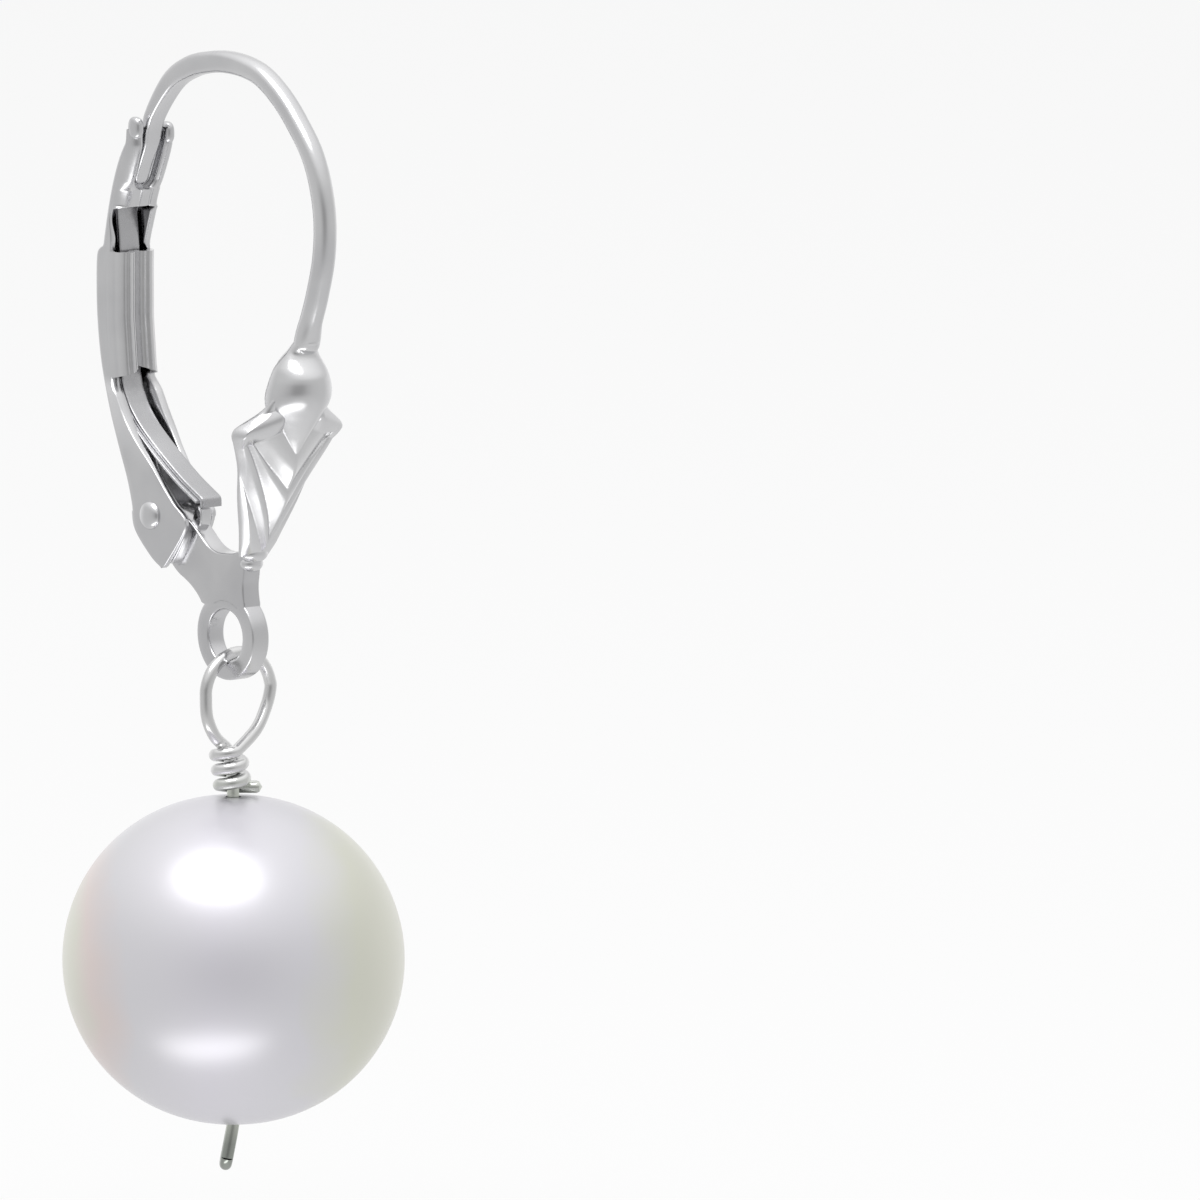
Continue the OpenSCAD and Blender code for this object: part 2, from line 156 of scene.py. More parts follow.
def unit(v):
    """Vectors scaled to length 1."""
    return v / np.linalg.norm(v, axis=-1, keepdims=True)


def step(lo, hi, x):
    """Smooth step up: 0 below lo, 1 above hi, 3t^2 - 2t^3 between."""
    t = np.clip((x - lo) / (hi - lo), 0, 1)
    return t * t * (3 - 2 * t)


def fade(lo, hi, x):
    """Smooth step down: 1 below lo, 0 above hi."""
    return 1 - step(lo, hi, x)


def power(c, n):
    """A coordinate of a superellipse: the sign of c times |c| to the power 2/n."""
    return np.sign(c) * np.abs(c) ** (2 / n)


def path_length(path):
    """Distance along a path from its first point to each of its points."""
    return np.concatenate([[0], np.cumsum(np.linalg.norm(np.diff(path, axis=0), axis=1))])


def rounded(d, reach, least):
    """Share of the full size at distance d from a rounded end: sqrt(1 - (1 - d/reach)^2)."""
    return np.sqrt(np.clip(1 - np.clip(1 - d / reach, 0, 1) ** 2, least, 1))


def full_turn(points):
    """Angles of so many points, spread evenly round a full turn."""
    return np.linspace(0, 2 * np.pi, points, endpoint=False)


# %% [markdown]
# ## Skins
# A solid could be modelled by hand from boxes and spheres. Here each is a skin, a row of equal
# rings worked out with numpy, so a table can change and the mesh follows. Its quads join
# neighbours in the ring and from ring to ring, and one polygon closes each end. The signed volume
# says whether the faces point out.

# %% Mesh helpers


def skin(rings, caps=True, shade=0.0):
    """Vertices, faces and shade of a closed skin through rings[i, k]: quad (i,k), (i,k+1),
    (i+1,k+1), (i+1,k). The shade says how much painted shade, a darkening where shade falls, each
    point takes."""
    n, m = rings.shape[:2]
    at = np.arange(n * m).reshape(n, m)
    here, there = at[:-1], at[1:]
    quads = np.stack([here, np.roll(here, -1, 1), np.roll(there, -1, 1), there], -1).reshape(-1, 4)
    # the volume is the sum over triangles of the corners' triple product, divided by six
    v = rings.reshape(-1, 3) - rings.reshape(-1, 3).mean(0)
    tri = np.vstack([quads[:, :3], quads[:, [0, 2, 3]]])
    volume = np.einsum("ij,ij->i", v[tri[:, 0]], np.cross(v[tri[:, 1]], v[tri[:, 2]])).sum() / 6
    faces = quads.tolist() + ([at[0, ::-1].tolist(), at[-1].tolist()] if caps else [])
    if volume < 0:
        faces = [f[::-1] for f in faces]
    return rings.reshape(-1, 3), faces, np.broadcast_to(shade, (n, m)).reshape(-1)


def piece(name, *skins, crease=35):
    """One object from several skins, in metres, smooth except where faces meet above the crease."""
    faces, start = [], 0
    for points, polygons, _ in skins:
        faces += [[start + i for i in f] for f in polygons]
        start += len(points)
    mesh = bpy.data.meshes.new(name)
    mesh.from_pydata((np.vstack([sk[0] for sk in skins]) * MM).tolist(), [], faces)
    mesh.polygons.foreach_set("use_smooth", np.ones(len(faces), bool))
    # the painted shade of each point, which the silver shader reads to darken the tone where shade
    # falls
    mesh.attributes.new("painted_shade", "FLOAT", "POINT").data.foreach_set(
        "value", np.concatenate([sk[2] for sk in skins]).astype(np.float32))
    mesh.set_sharp_from_angle(angle=math.radians(crease))
    mesh.update()
    made = bpy.data.objects.new(name, mesh)
    bpy.context.scene.collection.objects.link(made)
    print(f"{name}: {len(faces)} faces")
    return made


def carried(path):
    """Two side vectors along a path in space, without twist: the first loses its part along each
    new tangent, and the second stands square on both."""
    t = unit(np.gradient(path, axis=0))
    n = np.empty_like(t)
    side = np.cross(t[0], [1, 0, 0] if abs(t[0][0]) < 0.9 else [0, 1, 0])
    for i, tangent in enumerate(t):
        side = side - tangent * (side @ tangent)
        side /= np.linalg.norm(side)
        n[i] = side
    return n, np.cross(t, n)


def tube(path, radius, sides):
    """A round wire: path + radius (cos a n + sin a b). The radius may change along the path."""
    n, b = carried(path)
    a = full_turn(sides)[None, :, None]
    return path[:, None] + radius[:, None, None] * (np.cos(a) * n[:, None] + np.sin(a) * b[:, None])


def plate(outline, half, rounding):
    """A flat plate in the side view, rounded along its rim: at angle a of the rim its outline is
    r (1 - cos a) in, and it lies half - r (1 - sin a) out from the middle."""
    o = np.asarray(outline, float)
    t = unit(np.roll(o, -1, 0) - np.roll(o, 1, 0))
    area = np.sum(o[:, 0] * np.roll(o[:, 1], -1) - np.roll(o[:, 0], -1) * o[:, 1])
    inward = np.stack([-t[:, 1], t[:, 0]], -1) * np.sign(area)
    a = np.linspace(np.pi / 2, 0, 5)
    out = half - rounding + rounding * np.sin(a)
    inset = rounding * (1 - np.cos(a))
    x = np.concatenate([-out, out[::-1]])[:, None, None]
    yz = o + np.concatenate([inset, inset[::-1]])[:, None, None] * inward
    return np.concatenate([np.broadcast_to(x, yz.shape[:2] + (1,)), yz], -1)


def revolve(profile, sides):
    """Turns (radius, height) rows about the Z axis."""
    p = np.asarray(profile, float)
    a = full_turn(sides)
    return np.stack([p[:, :1] * np.cos(a), p[:, :1] * np.sin(a), p[:, 1:] + 0 * a], -1)


def ball(centre, radii, n=2):
    """A superellipsoid round its centre; the power 2 makes it an ellipsoid."""
    lat = np.linspace(0.02, np.pi - 0.02, 20)[:, None]
    lon = full_turn(24)
    p = np.stack([power(np.sin(lat), n) * power(np.cos(lon), n),
                  power(np.sin(lat), n) * power(np.sin(lon), n),
                  power(np.cos(lat), n) + 0 * lon], -1)
    return skin(np.asarray(centre) + p * np.asarray(radii))


# %% [markdown]
# ## The ear wire
# It is one drawn wire, bent to an oval, softly squared where it was pressed, and hammered flat at
# the tip that lies in the lever's cup. A curve object with a bevel would be round all along, so a
# superellipse that changes on the way is carried along it: a high power is square, 2 is round.

# %% Ear wire
crown_sag = 0.06
limbs = np.array([[out * tip_back, crown_z - down * tip_drop, t] for out, down, t in back_limb]
                 + [[0, crown_z - crown_sag, 1]]
                 + [[-out * front_bow, crown_z - down * front_drop, t]
                    for out, down, t in front_limb])
way = smooth(limbs, 10)
along = unit(np.gradient(way[:, :2], axis=0))
normal = np.stack([-along[:, 1], along[:, 0]], -1)
d_tip = path_length(way[:, :2])
d_end = d_tip[-1] - d_tip
# narrower at the tip, wider above the boss, and drawn in where it ends inside the boss
sunk = 1 - 0.35 * fade(0.03, 0.34, d_end)
half_x = wire_t / 2 * (0.80 + 0.20 * step(0.6, 2.2, d_tip))
half_x = half_x * (1 + 0.24 * fade(0.50, 1.2, d_end)) * sunk
half_n = wire_t / 2 * way[:, 2] * sunk
square = (4.2 - 1.9 * step(3.0, 8.0, d_tip))[:, None]
turn = full_turn(40)
offset = (half_n * rounded(d_tip, 0.10, 0.02))[:, None] * power(np.sin(turn), square)
ear_wire = piece("ear_wire", skin(np.stack([
    (half_x * rounded(d_tip, 0.22, 0.02))[:, None] * power(np.cos(turn), square),
    way[:, :1] + offset * normal[:, :1],
    way[:, 1:2] + offset * normal[:, 1:]], -1)))

# %% [markdown]
# ## The shield
# A struck panel with nested chevrons under a teardrop boss. Sculpting would give the chevrons
# too, but they follow a rule, so the front is a height over a plane that leans back to the foot.
# It depends on how many chevrons lie between the ridge and a point: a groove where the count is
# whole, a pillow between.

# %% Shield outline and planes
edge = smooth(shield_edge, 12)
edge = edge[np.argsort(edge[:, 0])]
ridge_fine = smooth(ridge_rows, 10)
tan_lean = 1.12 * shield_lean / shield_h
# a depth measured square to the leaning panel grows by this much when it is measured along Y
to_y = 1 / math.cos(math.atan(tan_lean))


def half_width(v):
    """Half the shield's width at share v of its height from the top."""
    return np.interp(v, edge[:, 0], edge[:, 1]) * shield_w / 2


def ridge_y(v):
    """The front ridge line, which bows forward between the boss and the foot."""
    return np.interp(v, ridge_fine[:, 0], ridge_fine[:, 1])


def edge_y(v, ax):
    """The panel's plane away from the ridge: it leans by tan_lean, and rises back to the rims."""
    return (foot[0] - shield_t / 2 - 0.14 - tan_lean * (1 - v) * shield_h
            + 0.10 * step(0.5, 0.72, v) + to_y * ridge_h * ax / (shield_w / 2))


print("the panel leans by", round(math.degrees(math.atan(tan_lean)), 1), "degrees")

# %% Shield relief
pillow_h, bead_h = 0.11, 0.26    # height of the pillows between grooves, and of the shoulders
least_gap = 0.05                 # least distance from one groove to the next


def chevron(v, low, slope, bend):
    """Half distance of a chevron's arms at share v: slope t + bend t |t|, t above its point."""
    t = low - v
    return slope * t + bend * t * np.abs(t)


def relief(x, v):
    """How far the front stands out of the panel's plane at x and share v: a pillow is |sin| of pi
    times the count of grooves passed, and the shoulders are a bead along a line that sinks
    outwards. Both flatten towards the foot."""
    ax = np.abs(x)
    marks = np.stack([chevron(v, *row) for row in chevrons]) * shield_w / 2
    marks = np.concatenate([marks, np.maximum(half_width(v), marks[-1] + 0.12)[None]])
    marks = np.maximum.accumulate(marks + least_gap * np.arange(5)[:, None, None], axis=0)
    passed = np.clip((ax - marks[:-1]) / np.maximum(np.diff(marks, axis=0), 1e-6), 0, 1).sum(0)
    bands = np.abs(np.sin(np.pi * np.clip(passed, 0, 3.5))) ** 0.9
    shoulder = 0.285 + 0.12 * np.clip(ax / (shield_w / 2), 0, 1) ** 0.8
    below = step(0.03, 0.09, v - shoulder)
    bead = np.sin(np.pi * np.clip((v - shoulder + 0.045) / 0.125, 0, 1)) * step(0.40, 0.8, ax)
    return (pillow_h * bands * below + bead_h * bead) * (1 - 0.7 * step(0.93, 1.0, v))


# %% Shield panel
u = np.sin(np.pi / 2 * np.linspace(-1, 1, 120))
v = np.linspace(0.13, 1, 190)[:, None] + 0 * u
hw = half_width(v)
x = u * hw
# distance from each point to the outline, over all its segments at once
rim_x = np.concatenate([edge[:, 1], -edge[::-1, 1]]) * shield_w / 2
rim_z = np.concatenate([edge[:, 0], edge[::-1, 0]]) * shield_h
ax, az, bx, bz = rim_x[:-1], rim_z[:-1], np.diff(rim_x), np.diff(rim_z)
px, pz = x.reshape(-1, 1), (v * shield_h).reshape(-1, 1)
t = np.clip(((px - ax) * bx + (pz - az) * bz) / (bx ** 2 + bz ** 2 + 1e-9), 0, 1)
inside = np.sqrt((px - ax - t * bx) ** 2 + (pz - az - t * bz) ** 2).min(1).reshape(x.shape)
# the middle surface is folded along the ridge; the sheet thins to its rims, which are rounded
across = np.clip(np.abs(x) / hw, 0, 1)
fold = ridge_y(v) * (1 - across) + np.maximum(edge_y(v, hw), ridge_y(v) + 0.1) * across
thick = 0.55 - 0.33 * across + 0.16 * across * step(0.26, 0.33, v) * fade(0.38, 0.46, v)
fall = thick / 2 * (1 - np.sqrt(1 - np.clip(1 - inside / 0.15, 0, 1) ** 2))
z = shield_top[1] - v * shield_h
front = np.stack([x, fold - relief(x, v) * np.clip(inside / 0.1, 0, 1) + fall, z], -1)
back = np.stack([x, fold + to_y * thick - fall, z], -1)
panel = skin(np.concatenate([front, back[:, ::-1]], axis=1))
print("the relief stands out by up to", round(float(relief(x, v).max()), 2), "mm")

# %% [markdown]
# The boss is a teardrop of level slices: full in front, flattened behind the panel, with a flatter
# brow where the wire runs in and a keel towards its lower point.

# %% Boss
slices = smooth(boss_rows, 8)
below, radius, middle = (slices[:, i:i + 1] for i in range(3))
keel = 2 - 0.4 * step(1.6, 2.4, below)
brow = 1 - 0.45 * step(0.15, 0.5, below) * fade(0.45, 1.24, below)
back_limit = 0.45 + 0.55 * fade(0.1, 0.9, below)
turn = full_turn(72)
fore = power(np.sin(turn), keel)
boss_x = radius * power(np.cos(turn), keel)
boss_y = middle + radius * np.where(fore < 0, brow * fore, np.minimum(fore, back_limit))
boss_z = shield_top[1] + 0.12 - below + 0 * boss_x
shield = piece("shield", panel, skin(np.stack([boss_x, boss_y, boss_z], -1)))

# %% [markdown]
# ## The base plate
# It was cut from sheet as thick as the wire and soldered to the shield's foot. It carries the
# hinge arm behind and the ring below. An outline with cut corners is made thick, and as sheet
# edges are tumbled round, the rim gets a small arc, which catches a thin line of light.

# %% Base plate
base_outline = cut_corners([
    ring_c + [-0.75 * ring_r, 0.55 * ring_r], ring_c + [-0.62 * ring_r, 1.1 * ring_r],
    foot + [0.06, -0.5], foot + [0.0, 0.12], foot + [0.45, 0.10], foot + [0.62, 0.02],
    foot + [1.6, -0.02], hinge + [-1.45, -0.09], hinge + [-0.55 * arm_r, 0.83 * arm_r],
    hinge + [0.75 * arm_r, 0.4 * arm_r], hinge + [0.83 * arm_r, -0.55 * arm_r],
    hinge + [-0.56, -1.56], hinge + [-1.3, -1.89], ring_c + [0.93 * ring_r, 0.8 * ring_r],
    ring_c + [0.8 * ring_r, 0.6 * ring_r], ring_c + [0, ring_hole_r + 0.12]], 3)
# painted shade: a flat share of 0.14 darkens the whole base plate a little below the shield's tone
base = skin(plate(base_outline, plate_t / 2, 0.07), shade=0.14)
print("base plate outline of", len(base_outline), "points")

# %% Ring, hinge boss, tab and solder
section = full_turn(28)
around = np.append(full_turn(96), 0)[:, None]
ring_mid, ring_half = (ring_r + ring_hole_r) / 2, (ring_r - ring_hole_r) / 2
section_r = ring_mid + ring_half * power(np.cos(section), 7)
section_x = plate_t / 2 * power(np.sin(section), 8)
# painted shade: a flat share of 0.11 darkens the ring a little less than the plate
ring = skin(np.stack([section_x + 0 * around, ring_c[0] + section_r * np.cos(around),
                      ring_c[1] + section_r * np.sin(around)], -1), caps=False, shade=0.11)
arm_outline = cut_corners([
    hinge + [0.5, -0.05], hinge + [0.1, 0.08], hinge + [-0.4, -0.02], hinge + [-1.56, -0.10],
    hinge + [-0.78, -1.42], hinge + [-0.45, -1.30], hinge + [0.4, -0.45]], 2)
arm_boss = skin(plate(arm_outline, lever_w / 2 - sheet_t - 0.02, 0.05))
tab = skin(plate(cut_corners(tab_outline, 2), 0.2, 0.05))
solder = [ball([0, foot[0] - 0.02, foot[1] + 0.10], [0.46, 0.34, 0.30]),
          ball([0, foot[0] + 0.10, foot[1] - 0.22], [0.37, 0.30, 0.26])]
base_plate = piece("base_plate", base, ring, arm_boss, tab, *solder)

# %% [markdown]
# ## The lever
# It is folded from thin sheet: a web behind, two cheeks, and two ears rolled in over the leaf
# spring. A flat sheet could be bent with a modifier, but its walls change so much on the way up
# that slicing is plainer: every ring of the skin is one level slice of the folded sheet, at a
# share of the way from the hinge up to the wire's tip.

# %% Lever lines
back_fine = smooth(lever_back, 8)
front_fine = smooth(lever_front, 8)
to_tip = tip - hinge
far_cut = 0.34    # how far back the far cheek's lower edge is cut


def lever_y(s, bow):
    """Y at share s of the way to the tip, moved back by the share bow of lever_bow."""
    return hinge[0] + s * to_tip[0] + bow * lever_bow


def lever_z(s):
    """Z at share s of the way to the tip."""
    return hinge[1] + s * to_tip[1]


def back_line(s):
    """Y of the lever's back edge."""
    return lever_y(s, np.interp(s, back_fine[:, 0], back_fine[:, 1]))


def front_line(s):
    """Y of the near cheek's front edge."""
    return lever_y(s, np.interp(s, front_fine[:, 0], front_fine[:, 1]))


print("the lever is", round(float(back_line(0.5) - front_line(0.5)), 2), "mm deep half way up")

# %% Slices of the folded sheet
least_depth = 0.16    # the folded sheet is never shallower than this, front to back
corner_out, corner_in = 0.14, 0.05    # radii of the fold, outside and inside


def column(q):
    """One value for each slice, as a column that spreads over the points of the slice."""
    return np.asarray(q)[:, None]


def cheek_to_web(sign, y_edge, w, y_web, corner, splay):
    """From a cheek's edge at y_edge, w out from the middle, straight to a corner and round it to
    the web at y_web. The straight leans out by splay (1 - k) from the corner, k = 1, to the edge,
    k = 0. The sign says which side it is."""
    k = np.linspace(0, 1, 9)
    a = np.linspace(0, np.pi / 2, 7)[1:]
    top = np.maximum(y_web - corner, y_edge + 0.005)
    x = [column(w) + column(splay) * (1 - k), column(w - corner) + column(corner) * np.cos(a)]
    y = [column(y_edge) + column(top - y_edge) * k, column(top) + column(y_web - top) * np.sin(a)]
    return sign * np.concatenate(x, 1), np.concatenate(y, 1)


def channel(s, half, t_near, t_far, t_web, bulge, near_low, room, splay):
    """One closed line for each share s: up the near cheek's outer face, over the web, which swells
    back by bulge (1 - x^2), down the far cheek, round its edge, and back inside. The inner line
    keeps the walls t_near, t_web and t_far and is no wider than room. The near cheek's edge lies
    near_low further back. Returns the rings and the painted shade of their points, which darkens
    the channel's inner walls and floor where shade falls."""
    y_back = back_line(s)
    y_far = np.minimum(front_line(s), y_back - least_depth)
    y_near = np.minimum(y_far + near_low, y_back - least_depth)
    y_far = y_far + far_cut * fade(-0.02, 0.06, s)
    in_near, in_far = np.minimum(half - t_near, room), np.minimum(half - t_far, room)
    w_near, w_far = half - in_near, half - in_far
    floor = np.maximum(y_back + bulge - t_web, np.maximum(y_near, y_far) + 0.03)

    # the edges are rounded by caps; on the solid block the near edge is rolled over to the floor
    rolled = step(0.914, 0.922, s)
    lift = 0.4 + 0.6 * step(0.915, 0.93, s)
    cap = np.minimum(w_near / 2, 0.16) * lift
    cap_far = np.minimum(w_far / 2, 0.16) * lift
    cap_near = cap + 0.22 * step(0.912, 0.925, s)
    r_out = np.minimum(corner_out, (y_back - y_far) * 0.5)
    r_near, r_far = np.minimum(corner_in, in_near * 0.5), np.minimum(corner_in, in_far * 0.5)
    lip_near = np.minimum(y_near + cap * (1 - rolled) + 0.03 * rolled, floor - 0.01)
    lip_far = np.minimum(y_far + cap_far, floor - 0.01)
    out_near = cheek_to_web(-1, y_near + cap_near, half, y_back, r_out, splay)
    out_far = cheek_to_web(1, y_far + cap_far, half, y_back, r_out, splay)
    inner_near = cheek_to_web(-1, lip_near, in_near, floor, r_near, splay)
    inner_far = cheek_to_web(1, lip_far, in_far, floor, r_far, splay)

    # the web, outside and inside; on the block the floor swells forward, so no line shows
    web = np.linspace(-1, 1, 11)[1:-1]
    block = column(rolled * fade(0.972, 0.980, s))
    web_out = (column(half - r_out) * web, column(y_back) + column(bulge) * (1 - web ** 2))
    web_in = (column(in_far - in_near) / 2 + column((in_far + in_near) * 0.45) * web,
              column(floor) - 0.05 * block * (1 - web ** 2))

    # the two edges, the near one blended from a half round to a roll
    lip = np.linspace(0, np.pi, 9)[1:-1]
    roll = column(rolled)
    near_x = ((-column(half - w_near / 2 + splay) + column(w_near / 2) * np.cos(lip)) * (1 - roll)
              - (column(half - w_near) + column(w_near) * np.sin(lip / 2)) * roll)
    near_y = ((column(y_near + cap) - column(cap) * np.sin(lip)) * (1 - roll)
              + (column(y_near + cap_near) - column(cap_near) * np.cos(lip / 2)) * roll)
    far_x = column(half - w_far / 2 + splay) + column(w_far / 2) * np.cos(lip)
    open_side = 1 - block * (lip > np.pi / 2)
    far_y = column(y_far) + column(cap_far) * (1 - np.sin(lip)) * open_side

    # each stretch with its order, forward or reversed, and its share of the painted shade, which
    # falls on the inner walls and the floor
    stretches = [(out_near, 1, 0), (web_out, 1, 0), (out_far, -1, 0), ((far_x, far_y), 1, 0),
                 (inner_far, 1, 0.5), (web_in, -1, 0.7), (inner_near, -1, 0.7),
                 ((near_x, near_y), 1, 0)]
    x = np.concatenate([line[0][:, ::order] for line, order, _ in stretches], 1)
    y = np.concatenate([line[1][:, ::order] for line, order, _ in stretches], 1)
    dark = np.concatenate([0 * line[0] + share for line, _, share in stretches], 1)
    # painted shade only where the channel is hollow; it grows from 0.12 to full between 0.70 and
    # 0.80 of the way up and stops at the solid block
    hollow = column(fade(0.915, 0.935, s)) * (column(floor) - column(y_far) > 0.05)
    rings = np.stack([x, y, column(lever_z(s)) + 0 * x], -1)
    return rings, dark * hollow * column(0.12 + 0.88 * step(0.70, 0.80, s))


def cheek(s, side_x, cut_back):
    """A single cheek below the web: a flat bar at each level, its rim rounded."""
    y_back = back_line(s)
    y_front = front_line(s) + cut_back * fade(-0.02, 0.06, s)
    middle, half = (y_back + y_front) / 2, np.maximum((y_back - y_front) / 2, 0.02)
    a, r = full_turn(40), sheet_t / 4
    y = column(middle) + column(half - r) * power(np.cos(a), 14) + r * np.cos(a)
    x = side_x + sheet_t / 2 * power(np.sin(a), 5) + 0 * y
    return np.stack([x, y, column(lever_z(s)) + 0 * y], -1)


# %% [markdown]
# The walls change up the lever: thin cheeks that lean apart below the ears, the window, the solid
# block over it, and the cup that takes the wire's tip. Each form comes and goes by a smooth step.

# %% Lever shell
levels = np.concatenate([np.linspace(0, 0.76, 76), np.linspace(0.765, 0.84, 20),
                         np.linspace(0.845, 0.912, 16), np.linspace(0.914, 1.02, 64),
                         np.linspace(1.025, 1.165, 30)])
half = lever_w / 2 + 0.04 * step(0.95, 1.10, levels)
under_ears = fade(0.395, 0.43, levels)
from_block = step(0.914, 0.919, levels)
cup = step(0.975, 0.980, levels)
solid = from_block * fade(0.975, 0.980, levels)

t_wall = 0.12 + (0.08 + 0.07 * step(0.16, 0.30, levels)) * under_ears + 0.20 * from_block
t_near = (t_wall + 0.10 * step(0.20, 0.30, levels) * under_ears
          + 0.08 * step(0.76, 0.78, levels) * fade(0.82, 0.88, levels)
          + 0.30 * from_block * fade(0.972, 0.980, levels))
t_far = t_wall + 0.12 * step(0.785, 0.80, levels) * fade(0.905, 0.914, levels)
bulge = 0.20 * step(0.80, 0.84, levels) * fade(1.0, 1.10, levels)
depth = back_line(levels) - front_line(levels) + bulge
t_web = (0.13 + 0.38 * bulge) * (1 - solid - cup) + (depth - 0.01) * solid + (depth - 0.37) * cup
near_low = (0.16 * step(0.14, 0.32, levels) + 0.10 * step(0.36, 0.42, levels)
            - 0.16 * step(0.73, 0.775, levels) + 0.32 * step(0.80, 0.905, levels))
near_low = near_low * fade(0.912, 0.920, levels)
splay = 0.12 * step(0.12, 0.26, levels) * fade(0.36, 0.41, levels)

# the cup's lower end is a half round of this radius, which limits its room
cup_r, cup_low = 0.42, 0.973
up = np.clip((levels - cup_low) * to_tip[1], 0, cup_r)
room = np.where(levels > cup_low, np.sqrt(np.clip(2 * cup_r * up - up ** 2, 0.002, None)) + 0.02, 1)
rings, dark = channel(levels, half, t_near, t_far, t_web, bulge, near_low, room, splay)
shell = skin(rings, shade=dark)
print("the lever's shell has", rings.shape[0], "slices of", rings.shape[1], "points")

# %% Lever cheeks, lugs and rolled ears
low = np.linspace(-0.155, 0.004, 30)
cheek_x = lever_w / 2 - sheet_t / 2 - 0.002
cheeks = [skin(cheek(low, -cheek_x, 0)), skin(cheek(low, cheek_x, far_cut))]
# the two bead-like lugs beside the cup, near and far: X, share of the way, share of lever_bow
lugs = [ball([lug_x, lever_y(s, bow), lever_z(s)], [0.165, 0.26, 0.33], 2.6)
        for lug_x, s, bow in ((-0.60, 1.170, -0.40), (0.60, 1.146, -0.36))]


def rolled_ear(sign):
    """Rolled from sheet: an oval arc from the cheek over the front and in to the middle groove,
    and an inner arc a sheet thinner. Three lines are pressed along it, each a Gauss bell in the
    angle, and its lower end is cut on the slant."""
    a = np.linspace(math.radians(172), math.radians(330), 80)
    pressed = sum(np.exp(-((a - math.radians(at)) / 0.14) ** 2) for at in (205, 248, 290))
    r = lever_w / 4 - 0.001 - 0.016 * pressed
    inward = 0.055 * np.clip((a - 1.5 * math.pi) / (math.pi / 3), 0, 1)
    start = 0.400 + 0.042 * np.clip((a - math.pi) / math.pi, 0, 1)
    s = start + np.linspace(0, 1, 40)[:, None] * (0.784 - start)
    y_middle = lever_y(s, np.interp(s, *zip(*ear_middle))) + 0.20
    arcs = [np.stack([sign * (lever_w / 4 - (rad + inward) * np.cos(a)) + 0 * s,
                      y_middle + 1.9 * rad * np.sin(a), lever_z(s)], -1) for rad in (r, r - 0.13)]
    # painted shade: the inner arc, inside the roll where shade falls, is darkened by a share of 0.3
    dark = np.concatenate([0 * s, 0 * s + 0.3], 1)
    return skin(np.concatenate([arcs[0], arcs[1][:, ::-1]], 1), shade=dark)


lever = piece("lever_shell", shell, *cheeks, rolled_ear(-1), rolled_ear(1), *lugs)

# %% [markdown]
# ## The leaf spring and the rivet
# A strip of hard sheet lies in the lever and presses its bent tip on the tab under it. A second,
# thinner strip lies behind it. A section carried along the side view gives both. The rivet has a
# dome at each end, so it is turned on its axis like work on a lathe.

# %% Leaf spring


def strip(front_rows, left, right, thick, sink):
    """A strip that follows a curve in the side view: its front lies sink behind the curve."""
    line = smooth(front_rows, 8)
    ahead = unit(np.gradient(line, axis=0))
    back = np.stack([-ahead[:, 1], ahead[:, 0]], -1)
    line = line + (sink + thick / 2) * back
    a = full_turn(28)
    x = (left + right) / 2 + (right - left) / 2 * power(np.cos(a), 9)
    off = thick / 2 * power(np.sin(a), 4)
    return skin(np.stack([x + 0 * line[:, :1], line[:, :1] + off * back[:, :1],
                          line[:, 1:] + off * back[:, 1:]], -1))


leaf = piece("leaf_spring", strip(leaf_front, -0.53 * leaf_w, 0.53 * leaf_w, leaf_t, 0),
             strip(leaf_front[5:12], -0.50, 0.30, 0.10, leaf_t - 0.02))

# %% Rivet
a = np.linspace(0, np.pi / 2, 12)
dome = np.stack([rivet_head_d / 2 * np.cos(a), lever_w / 2 + rivet_head_h * np.sin(a)], -1)
dome[-1, 0] = 0.001
shank = [rivet_d / 2, lever_w / 2 - 0.01]
half_profile = np.vstack([[shank], dome])
pin = revolve(np.vstack([half_profile[::-1] * [1, -1], half_profile]), 48)
rivet = piece("rivet", skin(np.stack([pin[..., 2], hinge[0] + pin[..., 0],
                                      hinge[1] + pin[..., 1]], -1)))

# %% [markdown]
# ## The drop's wire
# One soft wire: an eye under the pearl, the stem through it, the loop on the ring, the wraps and
# the cut tail. It is one route in space with a round section, as the jeweller bent one wire.

# %% Drop heights
r = drop_wire_d / 2
arch_drop = loop_r - math.sqrt(loop_r ** 2 - plate_t ** 2 / 4)
loop_top = ring_c[1] - ring_hole_r + r + arch_drop + fit_gap / 2
wrap_top = loop_top - loop_h
wrap_r = drop_wire_d + fit_gap / 2
wrap_angle = 940    # degrees
pearl_h = pearl_d - pearl_flat
pearl_top = wrap_top - wrap_pitch * wrap_angle / 360 - r - fit_gap
pearl_z = pearl_top - pearl_h / 2
pearl_foot = pearl_top - pearl_h
print("pearl top", pearl_top, "foot", pearl_foot)

# %% Eye under the pearl
eye_turn, eye_lean = math.radians(50), math.radians(11)
flat = np.array([math.cos(eye_turn), math.sin(eye_turn), 0])
down = np.array([-math.sin(eye_lean) * math.sin(eye_turn), math.sin(eye_lean) * math.cos(eye_turn),
                 -math.cos(eye_lean)])
under = np.array([0, 0, pearl_foot])
eye_c = eye_l - eye_r - r
leg_in = drill_d / 2 - r - 0.03
a = np.radians(np.arange(0, 181, 15))[:, None]
eye = np.vstack([
    under + leg_in * flat + [0, 0, 0.7], under + leg_in * flat + [0, 0, 0.1],
    under + eye_r * np.cos(a) * flat + (eye_c + eye_r * np.sin(a)) * down,
    under - leg_in * flat + [0, 0, 0.1], under - 0.6 * leg_in * flat + [0, 0, 0.8],
    under + [0, 0, 1.6]])
print("eye down to", round(float(eye[:, 2].min()), 2), "mm")

